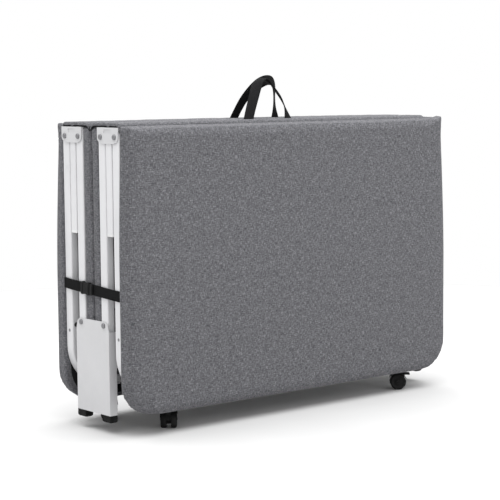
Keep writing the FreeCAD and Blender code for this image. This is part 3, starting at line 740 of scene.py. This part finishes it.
def buckle():
    """The socket is pressed in at its waist and has a bar for the webbing. The tongue has a ladder bar."""
    a, b = SOCKET_LOW.y + 0.0003, SOCKET_HIGH.y - 0.0003
    h = (SOCKET_HIGH.z - SOCKET_LOW.z) / 2 - 0.0012
    middle = (a + b) / 2
    edge = [(a, -h * 0.92), (a + 0.003, -h)]
    for i in range(9):
        t = i / 8
        edge.append((middle - 0.008 + 0.016 * t, -h + 0.0022 * math.sin(math.pi * t)))
    edge += [(b - 0.003, -h), (b, -h * 0.86)]
    shell = mirrored(edge)
    bar = crossbar(b - 0.006, b - 0.001, h * 0.78)
    rib = crossbar(a + 0.002, a + 0.0045, h * 0.62)
    moulding("buckle_socket_moulding", "rear_outer",
             [(shell, 0.0004, 0.0068), (bar, 0.0060, 0.0076), (rib, 0.0060, 0.0074)], "strap_buckle_socket")
    a, b = TONGUE_LOW.y + 0.0003, TONGUE_HIGH.y - 0.0003
    h = (TONGUE_HIGH.z - TONGUE_LOW.z) / 2 - 0.0012
    base = mirrored([(a, -h * 0.84), (a + 0.002, -h), (b - 0.001, -h), (b, -h * 0.9)])
    ladder = crossbar(a + 0.001, a + 0.003, h * 0.8)
    moulding("buckle_tongue_moulding", "front_outer",
             [(base, 0.0006, 0.0058), (ladder, 0.0050, 0.0066)], "strap_buckle_tongue")


# ---------------------------------------------------------------- casters
def revolved(outline, axis, centre, steps):
    """Solid of revolution from (radius, offset along the axis) points, its ends closed."""
    axis = Vector(axis).normalized()
    side = axis.orthogonal().normalized()
    other = axis.cross(side)
    count = len(outline)
    points = []
    for k in range(steps):
        a = 2 * math.pi * k / steps
        points += [centre + axis * d + (side * math.cos(a) + other * math.sin(a)) * r for r, d in outline]
    faces = [(k * count + i, k * count + i + 1, (k + 1) % steps * count + i + 1, (k + 1) % steps * count + i)
             for k in range(steps) for i in range(count - 1)]
    faces.append(tuple(k * count for k in range(steps)))
    faces.append(tuple(reversed([k * count + count - 1 for k in range(steps)])))
    return points, faces


def caster_wheels():
    """Twin wheels: rounded treads, dished outer faces with a hub boss, on one axle."""
    r, near, far = WHEEL_RADIUS, WHEEL_GAP, WHEEL_GAP + WHEEL_THICK
    side = [(0.0045, near), (r - 0.0016, near), (r - 0.0005, near + 0.0005), (r, near + 0.0016),
            (r, far - 0.0026), (r - 0.0007, far - 0.0011), (r - 0.0022, far - 0.0003),
            (r - 0.0034, far - 0.0003), (r - 0.0040, far - 0.0012), (0.0062, far - 0.0026),
            (0.0056, far - 0.0012), (0.0046, far - 0.0008), (0.0012, far - 0.0008)]
    axle = [(0.0021, -near - 0.001), (0.0021, near + 0.001)]
    for corner in ("rear_left", "rear_right", "front_left", "front_right"):
        joint = JOINTS["roll_" + corner]
        centre, axis = Vector(joint["pos_m"]), Vector(joint["axis"])
        points, faces = [], []
        for outline, sign, steps in ((side, 1, 56), (side, -1, 56), (axle, 1, 20)):
            turned_points, turned_faces = revolved([(a, b * sign) for a, b in outline], axis, centre, steps)
            for face in turned_faces:
                faces.append(tuple(len(points) + i for i in face[::sign]))
            points += turned_points
        name = f"wheels_{corner}_treads"
        obj = new_object(name, mesh_from(name, points, faces), RUBBER)
        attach(obj, "wheels_" + corner)
        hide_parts("caster_wheels_" + corner)


build_pads()
lining_sheets()
cover_sheets()
handles()
strap_half("rear", SOCKET_HIGH.y - 0.004, Y_OUTER + STRAP_REACH)
strap_half("front", TONGUE_LOW.y + 0.003, -Y_OUTER - STRAP_REACH)
buckle()
caster_wheels()
dress_cad_nodes()


# ---------------------------------------------------------------- stage, light and camera
def stage():
    """Pale round floor in a white room."""
    steps = 96
    turns = [2 * math.pi * i / steps for i in range(steps)]
    rim = [(FLOOR_RADIUS * math.cos(a), FLOOR_RADIUS * math.sin(a), 0) for a in turns]
    s = Shader("pale_floor", Roughness=0.95, Specular_IOR_Level=0.05)
    mottle = s.noise(s.object, 3.0, 3.0, 0.5)
    s.colour(mottle, (0.3, (0.56, 0.56, 0.56)), (0.7, (0.59, 0.59, 0.59)))
    new_object("floor", mesh_from("floor", rim, [tuple(range(steps))]), s.material)
    world = bpy.data.worlds.new("studio")
    bpy.context.scene.world = world
    world.use_nodes = True
    background = world.node_tree.nodes["Background"]
    background.inputs[0].default_value = (1.0, 1.0, 1.0, 1.0)
    background.inputs[1].default_value = 1.0


def area_light(name, place, target, size, power):
    """A rectangular softbox that faces its target."""
    light = bpy.data.lights.new(name, "AREA")
    light.shape = "RECTANGLE"
    light.size, light.size_y = size
    light.energy = power
    obj = bpy.data.objects.new(name, light)
    bpy.context.scene.collection.objects.link(obj)
    obj.location = place
    obj.rotation_mode = "QUATERNION"
    obj.rotation_quaternion = (Vector(target) - Vector(place)).to_track_quat("-Z", "Y")


CAMERA_PLACE = (-2.0382, -2.4197, 0.6311)
CAMERA_ANGLES = (39.735, 5.896, -0.468)    # azimuth from +Y towards +X, downward tilt and roll, in degrees
CAMERA_LENS = 115.81                       # millimetres, for a film width of 36


def camera():
    """Long lens from the left front, a little above the cot."""
    azimuth, elevation, roll = (math.radians(angle) for angle in CAMERA_ANGLES)
    forward = Vector((math.sin(azimuth) * math.cos(elevation), math.cos(azimuth) * math.cos(elevation),
                      -math.sin(elevation)))
    level = Vector((math.cos(azimuth), -math.sin(azimuth), 0.0))
    raised = level.cross(forward)
    right = level * math.cos(roll) + raised * math.sin(roll)
    up = raised * math.cos(roll) - level * math.sin(roll)
    data = bpy.data.cameras.new("camera")
    data.lens = CAMERA_LENS
    data.sensor_width = 36.0
    data.clip_end = 100.0
    obj = bpy.data.objects.new("camera", data)
    bpy.context.scene.collection.objects.link(obj)
    turn = Matrix((right, up, -forward)).transposed()
    obj.matrix_world = Matrix.Translation(CAMERA_PLACE) @ turn.to_4x4()
    bpy.context.scene.camera = obj


stage()
area_light("top_softbox", place=(0.0, 0.0, 2.7), target=(0, 0, 0), size=(4.2, 4.2), power=166.0)
area_light("front_softbox", place=(0.9, -3.2, 1.1), target=(0, 0, 0.3), size=(1.6, 1.6), power=16.0)
camera()
bpy.context.scene.view_settings.view_transform = "Standard"
